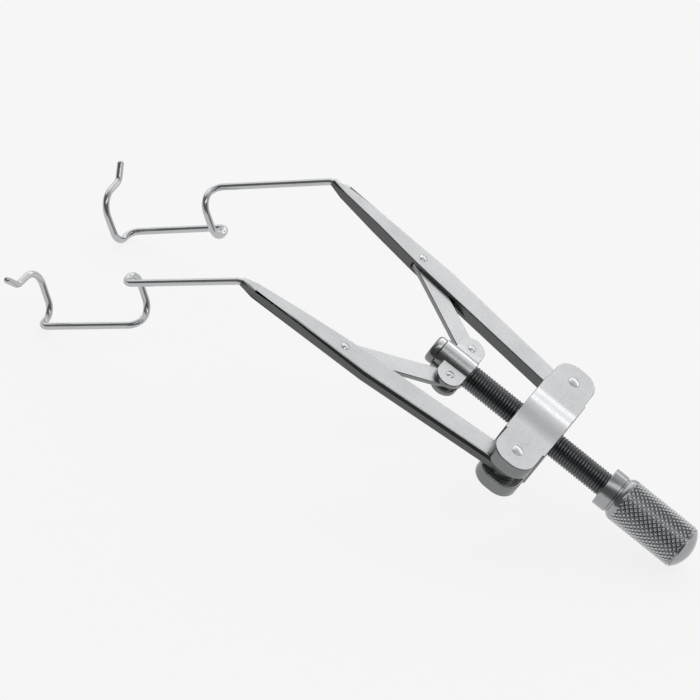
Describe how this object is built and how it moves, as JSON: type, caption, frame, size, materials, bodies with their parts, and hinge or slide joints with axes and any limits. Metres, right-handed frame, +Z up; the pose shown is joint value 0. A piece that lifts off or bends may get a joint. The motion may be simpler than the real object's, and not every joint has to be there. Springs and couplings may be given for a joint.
{
  "type": "eye speculum",
  "caption": "Adjustable eyelid speculum: two bent wire blades on flat arms, spread by a thumb screw through two links.",
  "frame": {"origin": "under the middle of the object's length and width, on the surface it lies on", "axes": "+X from the knob towards the blades, +Y across towards the upper arm, +Z up; the screw's line leans up towards the blades because the object lies on its blades and its knob"},
  "size_m": [0.0798, 0.0266, 0.0198],
  "materials": {
    "satin_steel": "satin",
    "bright_steel": "polished",
    "dark_steel": "machined",
    "pin_steel": "ground"
  },
  "bodies": {
    "yoke": {"yoke": "satin_steel", "yoke_pin_upper": "pin_steel", "yoke_pin_lower": "pin_steel"},
    "block": {"block": "satin_steel", "block_pin_upper": "pin_steel", "block_pin_lower": "pin_steel"},
    "screw": {"screw": "dark_steel", "cap": "satin_steel", "knob": "bright_steel"},
    "arm_upper": {"arm_upper": "satin_steel", "blade_upper": "bright_steel", "arm_link_pin_upper": "pin_steel"},
    "arm_lower": {"arm_lower": "satin_steel", "blade_lower": "bright_steel", "arm_link_pin_lower": "pin_steel"},
    "link_upper": {"link_upper": "satin_steel"},
    "link_lower": {"link_lower": "satin_steel"}
  },
  "joints": [
    {"name": "block_slide", "type": "slide", "parent": "yoke", "child": "block", "axis": [0.9518, 0, 0.3068], "range_m": [-0.00139, 0.00093]},
    {"name": "screw_turn", "type": "hinge", "parent": "block", "child": "screw", "pos_m": [-0.01921, 0, 0.00876], "axis": [0.9518, 0, 0.3068], "range_deg": [-1428.69, 952.46]},
    {"name": "arm_upper_swing", "type": "hinge", "parent": "yoke", "child": "arm_upper", "pos_m": [-0.01921, 0.0071, 0.00876], "axis": [-0.3068, 0, 0.9518], "range_deg": [-7.51, 5.01]},
    {"name": "arm_lower_swing", "type": "hinge", "parent": "yoke", "child": "arm_lower", "pos_m": [-0.01921, -0.0071, 0.00876], "axis": [0.3068, 0, -0.9518], "range_deg": [-7.51, 5.01]},
    {"name": "link_upper_swing", "type": "hinge", "parent": "arm_upper", "child": "link_upper", "pos_m": [0.00113, 0.00942, 0.01532], "axis": [-0.3068, 0, 0.9518], "range_deg": [-7.32, 4.88]},
    {"name": "link_lower_swing", "type": "hinge", "parent": "arm_lower", "child": "link_lower", "pos_m": [0.00113, -0.00942, 0.01532], "axis": [0.3068, 0, -0.9518], "range_deg": [-7.32, 4.88]}
  ],
  "couplings": [
    {"joint": "screw_turn", "follows": "block_slide", "rad_per_m": 17952},
    {"joint": "arm_upper_swing", "follows": "block_slide", "rad_per_m": 94.261},
    {"joint": "arm_lower_swing", "follows": "block_slide", "rad_per_m": 94.261},
    {"joint": "link_upper_swing", "follows": "block_slide", "rad_per_m": 91.853},
    {"joint": "link_lower_swing", "follows": "block_slide", "rad_per_m": 91.853}
  ]
}
